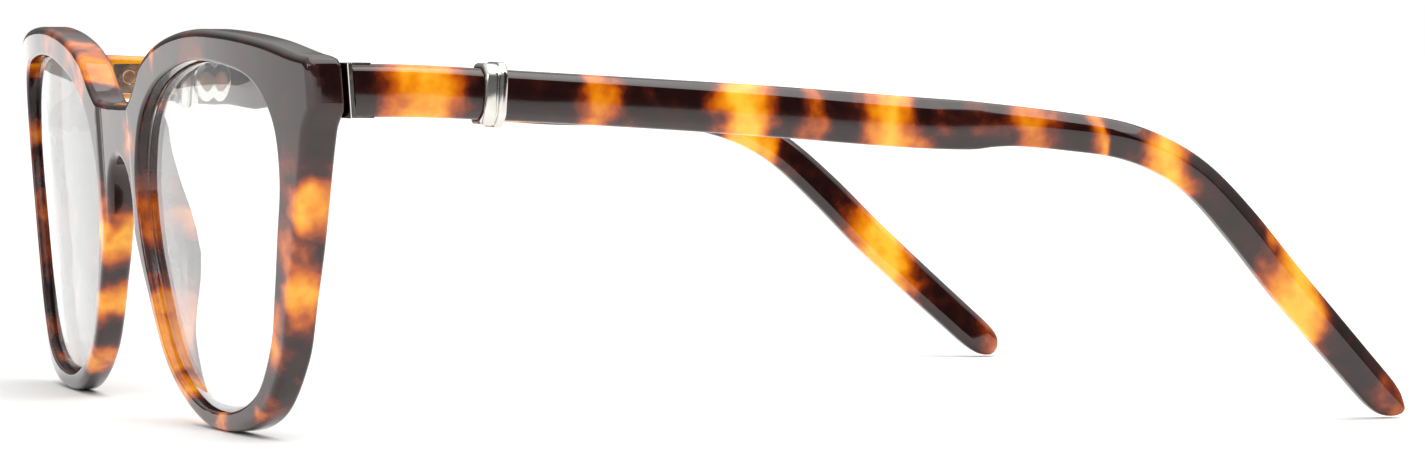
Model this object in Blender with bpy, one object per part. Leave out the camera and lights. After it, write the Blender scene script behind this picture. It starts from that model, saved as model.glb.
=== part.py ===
# Acetate spectacles with folding temples: one object for each real piece.
# Everything is worked out in millimetres, then scaled to metres as each mesh is made.
# +X is the wearer's left, the front faces -Y, the temples run back along +Y, +Z is up.

import math

import bmesh
import bpy
from mathutils import Matrix, Vector
from mathutils.geometry import interpolate_bezier

MM = 0.001
SIDES = {"left": 1, "right": -1}

# Driving sizes of the front
LENS_WIDTH = 47.2          # opening, side to side
LENS_HEIGHT = 40.0         # opening, top to bottom
NOSE_GAP = 17.9            # between the two openings
BRIDGE_DROP = 5.3          # top of the bridge below the top of the openings
BRIDGE_HEIGHT = 6.7        # from its top to the crown of the arch
FRONT_THICKNESS = 4.2      # at the endpieces
FRONT_TAPER = 0.24         # the foot is thinner by this share
FRONT_RADIUS = 590.0       # bow of the front seen from above
SWEEP_START = 38.0         # from here outwards the front turns back more
SWEEP_RADIUS = 156.0
FRONT_LEAN = 0.075         # the foot of the front sits back by this share of its height
EDGE_ROUND = 0.9           # rounded outer edges
OPENING_ROUND = 0.35       # rounded edges of the openings
RIM_FOOT = 2.2             # rim under the lens
END_OUTREACH = 7.8         # endpiece past the widest point of the opening
END_RISE = 0.65            # top of the endpiece above the top of the opening
END_HEIGHT = 6.6

# Lens and its groove
GROOVE_DEPTH = 0.75
GROOVE_HALF = 0.95
LENS_BEVEL = 0.5           # the lens edge reaches this far into the groove
LENS_SLACK = 0.15          # lens body inside the opening
LENS_HALF = 0.75           # half thickness at the edge
LENS_BULGE = 1.0           # the middle stands forward of the edge

# Nose pads: swells of the same acetate behind the nose side of each opening
PAD_ROOT = 2.0             # the swell starts this deep inside the rim
PAD_REACH = 4.6            # its crest stands this far behind the rim
PAD_WIDTH = 2.9            # at the crest
PAD_INSET = 0.2            # behind the rim's edge at the opening
PAD_SPLAY = 0.22           # opens towards the face by this share of its reach
PAD_LENS_GAP = 0.3

# Temples
TEMPLE_REACH = 134.9       # from the endpiece to the tip, straight back
TEMPLE_THICKNESS = 4.0     # at the hinge
TEMPLE_SPLAY = 0.032       # the temple runs outwards by this share of its length
SPLAY_START = 6.0          # behind the front end of the temple
TEMPLE_TOE_IN = 9.5        # the drop curls inwards by this much at the tip
TOE_START = 0.68           # share of the reach where it begins
TEMPLE_GAP = 0.3           # between endpiece and end cap when open

# Hinge
AXIS_INSET = 1.8           # axis inwards of the temple's inner face
AXIS_SETBACK = 1.3         # axis behind the endpiece's rear face
KNUCKLE_RADIUS = 1.25
KNUCKLES = 5
HINGE_HEIGHT = 4.0
HINGE_GAP = 0.12           # between knuckles
SCREW_RADIUS = 0.5
SCREW_HEAD_RADIUS = 1.0
SCREW_HEAD_HEIGHT = 0.4
SCREW_SLACK = 0.08
LEAF_THICKNESS = 0.8
FRONT_LEAF_INNER = 1.7     # leaf on the nose side of the axis
FRONT_LEAF_OUTER = 4.2
TEMPLE_LEAF_LENGTH = 5.4

# Metal trim
CAP_HEIGHT = 6.1
CAP_THICKNESS = 0.55
CAP_LIP = 0.35
CAP_LIP_LENGTH = 2.8
CAP_LIP_INSET = 0.5        # lips start outwards of the inner face
RING_START = 15.4          # behind the end cap
RING_WIDTH = 2.5
RING_WALL = 0.75
DISC_WIDTH = 3.4
DISC_HEIGHT = 5.0
PLATE_LENGTH = 8.2
PLATE_HEIGHT = 4.0
PLATE_THICKNESS = 0.6
PIN_RADIUS = 0.78
PIN_SETBACK = 8.65         # behind the end cap
CORE_RADIUS = 0.6
CORE_START = 2.4           # behind the pin
CORE_END = 8.0             # short of the tip
FIT = 0.12                 # clearance between pieces that touch

# How finely curves are divided
OUTLINE_STEP = 1.8
OPENING_STEP = 2.4

# Opening outline: shares of half the width and half the height, then the rim's width in mm.
# It starts on the temple side and runs over the top to the nose and round the foot.
OPENING = [
    (0.995, 0.36, 5.6), (0.965, 0.68, 6.4), (0.79, 0.895, 5.2), (0.45, 0.985, 3.8),
    (0.02, 1.0, 3.6), (-0.41, 0.915, 4.1), (-0.69, 0.79, 4.6), (-0.875, 0.62, 5.0),
    (-0.99, 0.32, 4.6), (-0.98, 0.03, 3.4), (-0.90, -0.25, 2.3), (-0.635, -0.735, 1.8),
    (-0.21, -0.973, 2.0), (0.25, -0.99, 2.2), (0.60, -0.86, 2.8), (0.79, -0.58, 3.4),
    (0.872, -0.27, 3.7), (0.935, 0.04, 4.3),
]
RIM_TOP = slice(2, 7)      # points of OPENING whose rim is the outer edge, above the lens
RIM_LOW = slice(9, 18)     # the same from the nose round the foot to the temple side

# Temple stations: share of the reach, share of the hinge's height lost, height in mm,
# share of the thickness, upper and lower bevel as shares of the height.
STATIONS = [
    (0.000, 0.000, 5.90, 1.00, 0.12, 0.22), (0.054, 0.002, 5.80, 1.00, 0.13, 0.21),
    (0.121, 0.012, 5.65, 1.00, 0.15, 0.19), (0.248, 0.035, 5.62, 0.97, 0.17, 0.18),
    (0.368, 0.060, 5.75, 0.93, 0.21, 0.24), (0.487, 0.090, 5.82, 0.88, 0.26, 0.31),
    (0.549, 0.101, 5.55, 0.84, 0.29, 0.36), (0.569, 0.101, 5.00, 0.83, 0.30, 0.38),
    (0.592, 0.104, 4.60, 0.82, 0.31, 0.41), (0.636, 0.119, 4.40, 0.80, 0.33, 0.45),
    (0.689, 0.145, 4.28, 0.78, 0.35, 0.49), (0.733, 0.196, 4.22, 0.77, 0.36, 0.53),
    (0.771, 0.271, 4.35, 0.77, 0.37, 0.56), (0.815, 0.405, 4.62, 0.79, 0.38, 0.57),
    (0.860, 0.561, 4.75, 0.80, 0.38, 0.58), (0.905, 0.706, 4.70, 0.80, 0.38, 0.58),
    (0.950, 0.848, 4.58, 0.79, 0.38, 0.58), (0.970, 0.910, 4.50, 0.76, 0.38, 0.58),
    (0.981, 0.941, 4.15, 0.69, 0.38, 0.58), (0.989, 0.960, 3.35, 0.58, 0.38, 0.58),
    (0.995, 0.974, 2.05, 0.40, 0.38, 0.58),
]
# Crest of the pads: level as a share of the opening's half height, share of the reach
PAD_CREST = [
    (0.70, -0.15), (0.58, 0.20), (0.47, 0.32), (0.32, 0.53), (0.15, 0.78), (0.02, 0.94),
    (-0.10, 1.00), (-0.22, 0.96), (-0.34, 0.83), (-0.45, 0.66), (-0.60, 0.47), (-0.72, 0.38),
    (-0.82, 0.26), (-0.90, 0.10), (-0.94, -0.15),
]

BEVEL_SET = 1.1            # how far the bevels fall back at the top and bottom edges

HALF_WIDTH = LENS_WIDTH / 2
HALF_HEIGHT = LENS_HEIGHT / 2
LENS_X = NOSE_GAP / 2 + HALF_WIDTH
LENS_Z = RIM_FOOT + HALF_HEIGHT
END_X = LENS_X + HALF_WIDTH + END_OUTREACH
END_TOP = RIM_FOOT + LENS_HEIGHT + END_RISE
END_FOOT = END_TOP - END_HEIGHT
HINGE_LEVEL = END_TOP - END_HEIGHT / 2 - 0.25
BRIDGE_TOP = RIM_FOOT + LENS_HEIGHT - BRIDGE_DROP
BRIDGE_ARCH = BRIDGE_TOP - BRIDGE_HEIGHT
LENS_PLANE = FRONT_THICKNESS * 0.54
INNER_FACE = END_X - TEMPLE_THICKNESS


def bow(x):
    swept = max(0.0, abs(x) - SWEEP_START)
    return x * x / 2 / FRONT_RADIUS + swept * swept / 2 / SWEEP_RADIUS


def lean(z):
    return FRONT_LEAN * (HINGE_LEVEL - z)


def seat(x, depth, z):
    """A point of the flat front pattern, thinned to its foot, bowed and leant into place."""
    thinning = 1 - FRONT_TAPER * max(0.0, END_FOOT - z) / END_FOOT
    return Vector((x, depth * thinning + bow(x) + lean(z), z))


END_BACK = FRONT_THICKNESS + bow(END_X)
CAP_FACE = END_BACK + TEMPLE_GAP
TEMPLE_START = CAP_FACE + CAP_THICKNESS + FIT
AXIS_X = INNER_FACE - AXIS_INSET
AXIS_Y = END_BACK + AXIS_SETBACK
TIP_Y = END_BACK + TEMPLE_REACH
END_SLOPE = END_X / FRONT_RADIUS + (END_X - SWEEP_START) / SWEEP_RADIUS


def mitre(x, z):
    """How far the joint face between endpiece and temple lies behind its middle."""
    return lean(z) + END_SLOPE * (x - END_X)


def clear_scene():
    for item in list(bpy.data.objects):
        bpy.data.objects.remove(item, do_unlink=True)


def material(name, colour, roughness, metallic=0.0, transmission=0.0):
    surface = bpy.data.materials.new(name)
    surface.use_nodes = True
    surface.diffuse_color = (*colour, 1)
    shader = surface.node_tree.nodes["Principled BSDF"]
    shader.inputs["Base Color"].default_value = (*colour, 1)
    shader.inputs["Roughness"].default_value = roughness
    shader.inputs["Metallic"].default_value = metallic
    shader.inputs["Transmission Weight"].default_value = transmission
    return surface


def curve_through(points, closed, spacing):
    """A smooth curve through the points, sampled about every spacing."""
    count = len(points)
    samples = []
    for i in range(count if closed else count - 1):
        b, c = points[i], points[(i + 1) % count]
        a = points[i - 1] if closed or i else b * 2 - c
        d = points[(i + 2) % count] if closed or i + 2 < count else c * 2 - b
        reach = (c - b).length
        leaving = (c - a) * (reach / (reach + (b - a).length))
        arriving = (d - b) * (reach / (reach + (d - c).length))
        steps = max(1, round(reach / spacing))
        samples += interpolate_bezier(b, b + leaving / 3, c - arriving / 3, c, steps + 1)[:-1]
    if not closed:
        samples.append(points[-1])
    return samples


def outward_normals(loop):
    """Unit normals in the XZ plane for a loop that runs anticlockwise seen from the front."""
    normals = []
    for i, point in enumerate(loop):
        along = loop[(i + 1) % len(loop)] - loop[i - 1]
        normals.append(Vector((along.z, 0, -along.x)).normalized())
    return normals


def grown(loop, distance):
    return [p + n * distance for p, n in zip(loop, outward_normals(loop))]


def opening_points():
    """Corner points of the left opening and, beside each, of the rim's outer edge."""
    inner = [Vector((LENS_X + u * HALF_WIDTH, 0, LENS_Z + w * HALF_HEIGHT)) for u, w, _ in OPENING]
    outer = [p + n * row[2] for p, n, row in zip(inner, outward_normals(inner), OPENING)]
    return inner, outer


def opening_loop(spacing):
    return curve_through(opening_points()[0], True, spacing)


def front_outline(spacing):
    """Outer edge of the whole front: over both rims, round the endpieces and under the arch."""
    outer = opening_points()[1]
    corner = 0.7
    end = [
        Vector((END_X - 3.4, 0, END_TOP + 0.55)), Vector((END_X - corner, 0, END_TOP + 0.05)),
        Vector((END_X - 0.1, 0, END_TOP - corner)), Vector((END_X, 0, END_TOP - 2.2)),
        Vector((END_X, 0, END_FOOT + 1.8)), Vector((END_X - 0.1, 0, END_FOOT + corner)),
        Vector((END_X - corner, 0, END_FOOT)), Vector((END_X - 1.7, 0, END_FOOT - 1.6)),
    ]
    over = outer[RIM_TOP]
    shoulder = Vector((over[-1].x - 4.2, 0, BRIDGE_TOP + 1.9))
    crown = [Vector((3.4, 0, BRIDGE_TOP)), Vector((over[-1].x * 0.5, 0, BRIDGE_TOP + 0.3))]
    arch = [Vector((2.6, 0, BRIDGE_ARCH - 0.75)), Vector((4.4, 0, BRIDGE_ARCH - 2.7))]
    low = outer[RIM_LOW]
    half = [Vector((0, 0, BRIDGE_TOP))] + crown + [shoulder] + over[::-1] + end
    half += low[::-1] + arch[::-1] + [Vector((0, 0, BRIDGE_ARCH))]
    mirrored = [Vector((-p.x, 0, p.z)) for p in half[1:-1]]
    ring = half + mirrored[::-1]
    return curve_through(ring[::-1], True, spacing)


def new_object(name, mesh_data, surface, axis=None, side=1):
    """Scale a bmesh made in millimetres, mirror it for the right, hang it on its axis."""
    origin = Vector(axis.location) if axis else Vector()
    bmesh.ops.scale(mesh_data, vec=(MM * side, MM, MM), verts=mesh_data.verts)
    bmesh.ops.translate(mesh_data, vec=-origin, verts=mesh_data.verts)
    bmesh.ops.recalc_face_normals(mesh_data, faces=mesh_data.faces)
    mesh = bpy.data.meshes.new(name)
    mesh_data.to_mesh(mesh)
    mesh_data.free()
    mesh.shade_smooth()
    mesh.set_sharp_from_angle(angle=math.radians(35))
    mesh.materials.append(surface)
    item = bpy.data.objects.new(name, mesh)
    bpy.context.scene.collection.objects.link(item)
    item.parent = axis
    return item


def add_ring(work, points):
    return [work.verts.new(point) for point in points]


def bridge(work, ring, following):
    """Quads between two closed rings of the same count."""
    for i in range(len(ring)):
        j = (i + 1) % len(ring)
        work.faces.new((ring[i], ring[j], following[j], following[i]))


def add_skin(work, rings):
    made = [add_ring(work, ring) for ring in rings]
    for ring, following in zip(made, made[1:]):
        bridge(work, ring, following)
    return made


def close_end(work, ring):
    work.faces.new(ring)


def add_box(work, low, high):
    """A box between two corners; returns its vertices."""
    size = Vector(high) - Vector(low)
    middle = (Vector(high) + Vector(low)) / 2
    place = Matrix.Translation(middle) @ Matrix.Diagonal((*size, 1))
    return bmesh.ops.create_cube(work, size=1, matrix=place)["verts"]


def add_rod(work, start, end, radius, segments=24, radius_end=None):
    """A capped rod between two points; returns its vertices."""
    start, end = Vector(start), Vector(end)
    turn = (end - start).to_track_quat("Z", "Y").to_matrix().to_4x4()
    return bmesh.ops.create_cone(
        work, cap_ends=True, segments=segments, radius1=radius,
        radius2=radius if radius_end is None else radius_end,
        depth=(end - start).length, matrix=Matrix.Translation((start + end) / 2) @ turn,
    )["verts"]


def boolean(item, tool_mesh, operation, axis=None, side=1):
    """Apply a bmesh in millimetres to the object as an exact Boolean modifier."""
    join(item, new_object(f"{item.name}_tool", tool_mesh, item.data.materials[0], axis, side),
         operation)


def join(item, tool, operation):
    modifier = item.modifiers.new(operation.lower(), "BOOLEAN")
    modifier.operation = operation
    modifier.solver = "EXACT"
    modifier.object = tool
    bpy.context.view_layer.update()
    evaluated = item.evaluated_get(bpy.context.evaluated_depsgraph_get())
    result = bpy.data.meshes.new_from_object(evaluated)
    item.modifiers.clear()
    item.data = result
    bpy.data.objects.remove(tool, do_unlink=True)


def rounded_edge(depth, radius, towards):
    """Steps (inset, depth) of a quarter round whose outer end lies at depth, going inwards."""
    steps = 2
    arc = []
    for step in range(steps + 1):
        angle = math.pi / 2 * step / steps
        arc.append((radius * (1 - math.sin(angle)), depth + towards * radius * (1 - math.cos(angle))))
    return arc


def build_front(surface):
    """The one-piece front: walls with rounded edges, grooves, then flat faces, bowed and leant."""
    work = bmesh.new()
    outline = front_outline(OUTLINE_STEP)
    profile = rounded_edge(0, EDGE_ROUND, 1) + rounded_edge(FRONT_THICKNESS, EDGE_ROUND, -1)[::-1]
    rings = [[p + Vector((0, depth, 0)) for p in grown(outline, -inset)] for inset, depth in profile]
    made = add_skin(work, rings)
    front_edges = [made[0]]
    back_edges = [made[-1]]
    groove = [(0, LENS_PLANE - GROOVE_HALF), (GROOVE_DEPTH, LENS_PLANE),
              (0, LENS_PLANE + GROOVE_HALF)]
    profile = rounded_edge(0, OPENING_ROUND, 1) + groove
    profile += rounded_edge(FRONT_THICKNESS, OPENING_ROUND, -1)[::-1]
    opening = opening_loop(OPENING_STEP)
    for side in SIDES.values():
        rings = [[Vector((p.x * side, depth, p.z)) for p in grown(opening, wider)]
                 for wider, depth in profile]
        made = add_skin(work, rings)
        front_edges.append(made[0])
        back_edges.append(made[-1])
    for loops in (front_edges, back_edges):
        edges = []
        for loop in loops:
            edges += [work.edges.get((loop[i - 1], loop[i])) for i in range(len(loop))]
        bmesh.ops.triangle_fill(work, use_beauty=True, use_dissolve=False, edges=edges)
    for vert in work.verts:
        vert.co = seat(*vert.co)
    front = new_object("front_frame", work, surface)
    pads = new_object("nose_pads", nose_pads(), surface)
    boolean(pads, lens_spaces(), "DIFFERENCE")
    join(front, pads, "UNION")
    boolean(front, hinge_pockets(), "DIFFERENCE")
    return front


def nose_side(level):
    """Point of the opening's nose side at a level, and its normal towards the nose."""
    loop = opening_loop(OPENING_STEP / 2)
    normals = outward_normals(loop)
    for i in range(len(loop) - 1):
        high, low = loop[i], loop[i + 1]
        if high.x < LENS_X and high.z >= level > low.z:
            share = (high.z - level) / (high.z - low.z)
            return high.lerp(low, share), normals[i].lerp(normals[i + 1], share).normalized()
    return loop[-1], normals[-1]


def nose_pads():
    """Both pads, each lofted through ovals along the nose side of its opening."""
    work = bmesh.new()
    ovals = []
    for level, share in PAD_CREST:
        edge, normal = nose_side(LENS_Z + level * HALF_HEIGHT)
        half = PAD_WIDTH / 2 * (0.5 + 0.5 * max(share, 0.0))
        front, back = FRONT_THICKNESS - PAD_ROOT, FRONT_THICKNESS + share * PAD_REACH
        oval = []
        for i in range(14):
            angle = 2 * math.pi * i / 14
            depth = (front + back) / 2 + (back - front) / 2 * math.sin(angle)
            splayed = PAD_SPLAY * max(0.0, depth - FRONT_THICKNESS)
            offset = normal * (PAD_INSET + half * (1 + math.cos(angle)) - splayed)
            oval.append(edge + offset + Vector((0, depth, 0)))
        ovals.append(oval)
    for side in SIDES.values():
        made = add_skin(work, [[seat(p.x * side, p.y, p.z) for p in oval] for oval in ovals])
        close_end(work, made[0])
        close_end(work, made[-1])
    bmesh.ops.recalc_face_normals(work, faces=work.faces)
    return work


def lens_spaces():
    """Cutter that keeps the pads out of both lenses; it ends inside the rim and behind the lens."""
    work = bmesh.new()
    opening = grown(opening_loop(OPENING_STEP), GROOVE_DEPTH + 0.2)
    for side in SIDES.values():
        rings = [[seat(p.x * side, depth, p.z) for p in opening]
                 for depth in (-8.0, LENS_PLANE + LENS_HALF + PAD_LENS_GAP)]
        made = add_skin(work, rings)
        close_end(work, made[0])
        close_end(work, made[-1])
    return work


def build_lens(side_name, surface):
    """A lens with a V edge: rings shrink towards the middle, which stands forward."""
    opening = opening_loop(OPENING_STEP)
    middle = Vector((LENS_X, 0, LENS_Z))
    body = grown(opening, -LENS_SLACK)
    shares = (1.0, 0.72, 0.4)
    front = [(share, LENS_PLANE - LENS_HALF) for share in shares]
    back = [(share, LENS_PLANE + LENS_HALF) for share in shares[::-1]]
    work = bmesh.new()

    def ring_at(share, depth):
        bulge = LENS_BULGE * (1 - share * share)
        return [seat(middle.x + (p.x - middle.x) * share, depth - bulge,
                     middle.z + (p.z - middle.z) * share) for p in body]

    rings = [ring_at(share, depth) for share, depth in front[::-1]]
    rings.append([seat(p.x, LENS_PLANE, p.z) for p in grown(opening, LENS_BEVEL)])
    rings += [ring_at(share, depth) for share, depth in back[::-1]]
    made = add_skin(work, rings)
    for ring, depth in ((made[0], -LENS_HALF), (made[-1], LENS_HALF)):
        centre = work.verts.new(seat(middle.x, LENS_PLANE + depth - LENS_BULGE, middle.z))
        for i in range(len(ring)):
            work.faces.new((ring[i - 1], ring[i], centre))
    return new_object(f"{side_name}_lens", work, surface, side=SIDES[side_name])


def hinge_levels():
    """Bottom and top of each knuckle, from the lowest up."""
    height = (HINGE_HEIGHT - (KNUCKLES - 1) * HINGE_GAP) / KNUCKLES
    foot = HINGE_LEVEL - HINGE_HEIGHT / 2
    return [(foot + i * (height + HINGE_GAP), foot + i * (height + HINGE_GAP) + height)
            for i in range(KNUCKLES)]


def add_leaf_box(work, low, high):
    """A box set flush in the back of the endpiece, turned with the front's sweep."""
    slope = AXIS_X / FRONT_RADIUS + (AXIS_X - SWEEP_START) / SWEEP_RADIUS
    turn = Matrix.Rotation(math.atan(slope), 4, "Z")
    place = Matrix.Translation((AXIS_X, FRONT_THICKNESS + bow(AXIS_X), HINGE_LEVEL)) @ turn
    bmesh.ops.transform(work, matrix=place, verts=add_box(work, low, high))


def hinge_pockets():
    """Cutter for the recess behind each endpiece, open to the back."""
    work = bmesh.new()
    half = HINGE_HEIGHT / 2 + FIT
    add_leaf_box(work, (-FRONT_LEAF_INNER - FIT, -LEAF_THICKNESS - FIT, -half),
                 (FRONT_LEAF_OUTER + FIT, 3.0, half))
    copied = bmesh.ops.duplicate(work, geom=work.verts[:] + work.edges[:] + work.faces[:])
    mirrored = [part for part in copied["geom"] if isinstance(part, bmesh.types.BMVert)]
    bmesh.ops.scale(work, vec=(-1, 1, 1), verts=mirrored)
    return work


def build_front_hinge(side_name, surface):
    side = SIDES[side_name]
    work = bmesh.new()
    half = HINGE_HEIGHT / 2
    add_leaf_box(work, (-FRONT_LEAF_INNER, -LEAF_THICKNESS, -half), (FRONT_LEAF_OUTER, 0, half))
    leaf = new_object(f"{side_name}_front_hinge", work, surface, side=side)
    arms = bmesh.new()
    inside = FRONT_THICKNESS + bow(AXIS_X) - LEAF_THICKNESS / 2
    for low, high in hinge_levels()[::2]:
        add_box(arms, (AXIS_X - 1.0, inside, low), (AXIS_X + 1.0, AXIS_Y, high))
    boolean(leaf, arms, "UNION", side=side)
    add_knuckles(leaf, hinge_levels()[::2], None, side)
    return leaf


def add_knuckles(leaf, levels, axis, side):
    barrels = bmesh.new()
    for low, high in levels:
        add_rod(barrels, (AXIS_X, AXIS_Y, low), (AXIS_X, AXIS_Y, high), KNUCKLE_RADIUS)
    boolean(leaf, barrels, "UNION", axis, side)
    bore = bmesh.new()
    reach = HINGE_HEIGHT
    add_rod(bore, (AXIS_X, AXIS_Y, HINGE_LEVEL - reach), (AXIS_X, AXIS_Y, HINGE_LEVEL + reach),
            SCREW_RADIUS + SCREW_SLACK)
    boolean(leaf, bore, "DIFFERENCE", axis, side)


def build_temple_hinge(side_name, surface, axis):
    side = SIDES[side_name]
    work = bmesh.new()
    half = HINGE_HEIGHT / 2
    add_box(work, (INNER_FACE, TEMPLE_START + 0.4, HINGE_LEVEL - half),
            (INNER_FACE + LEAF_THICKNESS, TEMPLE_START + TEMPLE_LEAF_LENGTH, HINGE_LEVEL + half))
    leaf = new_object(f"{side_name}_temple_hinge", work, surface, axis, side)
    arms = bmesh.new()
    for low, high in hinge_levels()[1::2]:
        add_box(arms, (AXIS_X, AXIS_Y - 0.2, low),
                (INNER_FACE + LEAF_THICKNESS / 2, AXIS_Y + KNUCKLE_RADIUS * 0.9, high))
    boolean(leaf, arms, "UNION", axis, side)
    add_knuckles(leaf, hinge_levels()[1::2], axis, side)
    return leaf


def build_screw(side_name, surface):
    """Hinge screw: shank, slotted head above the top knuckle, tip under the lowest."""
    side = SIDES[side_name]
    top = HINGE_LEVEL + HINGE_HEIGHT / 2 + HINGE_GAP
    foot = HINGE_LEVEL - HINGE_HEIGHT / 2 - 0.3
    work = bmesh.new()
    add_rod(work, (AXIS_X, AXIS_Y, top), (AXIS_X, AXIS_Y, top + SCREW_HEAD_HEIGHT),
            SCREW_HEAD_RADIUS)
    screw = new_object(f"{side_name}_hinge_screw", work, surface, side=side)
    shank = bmesh.new()
    add_rod(shank, (AXIS_X, AXIS_Y, foot), (AXIS_X, AXIS_Y, top + SCREW_HEAD_HEIGHT / 2),
            SCREW_RADIUS)
    boolean(screw, shank, "UNION", side=side)
    slot = bmesh.new()
    add_box(slot, (AXIS_X - 2, AXIS_Y - 0.14, top + SCREW_HEAD_HEIGHT * 0.5),
            (AXIS_X + 2, AXIS_Y + 0.14, top + SCREW_HEAD_HEIGHT * 2))
    boolean(screw, slot, "DIFFERENCE", side=side)
    return screw


def station_at(share):
    """Smoothly interpolated temple station at a share of the reach."""
    rows = STATIONS
    i = max(0, min(len(rows) - 2, sum(row[0] <= share for row in rows) - 1))
    step = rows[i + 1][0] - rows[i][0]
    t = (share - rows[i][0]) / step

    def slope(k, column):
        before, after = rows[max(k - 1, 0)], rows[min(k + 1, len(rows) - 1)]
        return (after[column] - before[column]) / (after[0] - before[0])

    values = []
    for column in range(1, len(rows[0])):
        start, end = rows[i][column], rows[i + 1][column]
        leaving, arriving = slope(i, column) * step, slope(i + 1, column) * step
        values.append((2 * t**3 - 3 * t**2 + 1) * start + (t**3 - 2 * t**2 + t) * leaving
                      + (3 * t**2 - 2 * t**3) * end + (t**3 - t**2) * arriving)
    return values


def outer_face(share):
    """Distance of the temple's outer face from the middle plane."""
    splayed = max(0.0, share * (TIP_Y - TEMPLE_START) - SPLAY_START)
    curled = max(0.0, share - TOE_START) / (1 - TOE_START)
    return END_X + TEMPLE_SPLAY * splayed - TEMPLE_TOE_IN * curled ** 1.4


def temple_middle(share):
    """Middle of the temple's section at a share of the reach."""
    drop, _, thickness, _, _ = station_at(share)
    y = TEMPLE_START + share * (TIP_Y - TEMPLE_START)
    x = outer_face(share) - thickness * TEMPLE_THICKNESS / 2
    return Vector((x, y, HINGE_LEVEL * (1 - drop)))


def temple_up(share):
    ahead = temple_middle(min(share + 0.004, STATIONS[-1][0]))
    behind = temple_middle(max(share - 0.004, 0.0))
    along = ahead - behind
    return Vector((0, -along.z, along.y)).normalized()


def section(share, wider=0.0):
    """The temple's bevelled section at a share of the reach, optionally grown all round."""
    _, height, thickness, upper, lower = station_at(share)
    half = thickness * TEMPLE_THICKNESS / 2 + wider
    tall = height / 2 + wider
    fall = BEVEL_SET * thickness
    soft = min(0.55 + 0.5 * share, half * 0.5, tall * 0.45)
    shape = [
        (half, -tall + lower * 2 * tall), (half, tall - upper * 2 * tall),
        (half - fall, tall - 0.2), (half - fall - 0.3, tall), (soft - half, tall),
        (-half, tall - soft), (-half, soft - tall), (soft - half, -tall),
        (half - fall - 0.3, -tall), (half - fall, 0.2 - tall),
    ]
    middle, up = temple_middle(share), temple_up(share)
    return [middle + Vector((u, 0, 0)) + up * w for u, w in shape]


def mitred(points):
    """Fit the first stretch of the temple to the leant and swept joint face."""
    fade = 12.0
    for p in points:
        p.y += mitre(p.x, p.z) * max(0.0, 1 - max(0.0, p.y - TEMPLE_START) / fade)
    return points


def share_of(setback):
    """Share of the temple's reach for a distance behind the end cap's face."""
    return (CAP_FACE + setback - TEMPLE_START) / (TIP_Y - TEMPLE_START)


def path_shares(start, end, per_station=2):
    shares = [start]
    for row, following in zip(STATIONS, STATIONS[1:]):
        for step in range(per_station):
            share = row[0] + (following[0] - row[0]) * step / per_station
            if start + 0.004 < share < end - 0.004:
                shares.append(share)
    return shares + [end]


def tube_ring(share, radius, angles):
    middle, up = temple_middle(share), temple_up(share)
    return [middle + Vector((radius * math.cos(a), 0, 0)) + up * radius * math.sin(a)
            for a in angles]


def build_temple(side_name, surface, axis):
    """Bevelled temple with a bore for its core, recesses for the metal and a rounded tip."""
    side = SIDES[side_name]
    work = bmesh.new()
    last = STATIONS[-1][0]
    skin = add_skin(work, [mitred(section(share)) for share in path_shares(0.0, last)])
    close_end(work, skin[-1])
    corner, middle = section(0.0)[0], temple_middle(0.0)
    turn = math.atan2(corner.z - middle.z, corner.x - middle.x)
    angles = [turn + 2 * math.pi * i / len(skin[0]) for i in range(len(skin[0]))]
    bore_end = 1 - (CORE_END - 0.6) / TEMPLE_REACH
    shares = path_shares(0.0, bore_end, 1)
    bore = add_skin(work, [mitred(tube_ring(share, CORE_RADIUS + FIT + 0.06, angles))
                           for share in shares])
    bridge(work, skin[0], bore[0])
    close_end(work, bore[-1])
    temple = new_object(f"{side_name}_temple", work, surface, axis, side)
    boolean(temple, temple_recesses(), "DIFFERENCE", axis, side)
    pin_hole = bmesh.new()
    add_pin_rod(pin_hole, PIN_RADIUS + FIT, 2.0)
    boolean(temple, pin_hole, "DIFFERENCE", axis, side)
    return temple


def add_lips(work, slack, overrun):
    """Two lips over and under the temple; slack and overrun turn them into cutters."""
    near = INNER_FACE + CAP_LIP_INSET - slack
    far = END_X - BEVEL_SET + slack
    back = CAP_FACE + CAP_THICKNESS + CAP_LIP_LENGTH + slack
    for sign in (1, -1):
        rim = HINGE_LEVEL + sign * CAP_HEIGHT / 2
        levels = sorted((rim + sign * overrun, rim - sign * (CAP_LIP + slack)))
        made = add_box(work, (near, CAP_FACE + 0.1, levels[0]), (far, back, levels[1]))
        for vert in made:
            vert.co.y += mitre(vert.co.x, vert.co.z)


def temple_recesses():
    """Cutters for the hinge leaf, the inner plate and the end cap's lips."""
    work = bmesh.new()
    half = HINGE_HEIGHT / 2 + FIT
    add_box(work, (INNER_FACE - 3, TEMPLE_START - 6, HINGE_LEVEL - half),
            (INNER_FACE + LEAF_THICKNESS + FIT,
             TEMPLE_START + TEMPLE_LEAF_LENGTH + FIT, HINGE_LEVEL + half))
    low, high = plate_corners(FIT)
    add_box(work, (INNER_FACE - 3.5, low.y, low.z), high)
    add_lips(work, FIT, 3.0)
    return work


def plate_corners(slack=0.0):
    start = TEMPLE_START + TEMPLE_LEAF_LENGTH + 3 * FIT
    level = HINGE_LEVEL - 0.3
    half = PLATE_HEIGHT / 2 + slack
    low = Vector((INNER_FACE - 0.05, start - slack, level - half))
    high = Vector((INNER_FACE - 0.05 + PLATE_THICKNESS + slack, start + PLATE_LENGTH + slack,
                   level + half))
    return low, high


def add_pin_rod(work, radius, extra):
    share = share_of(PIN_SETBACK)
    level = temple_middle(share).z
    y = CAP_FACE + PIN_SETBACK
    add_rod(work, (INNER_FACE - 0.05 - extra, y, level), (END_X + 0.04 + extra, y, level), radius)


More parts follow.
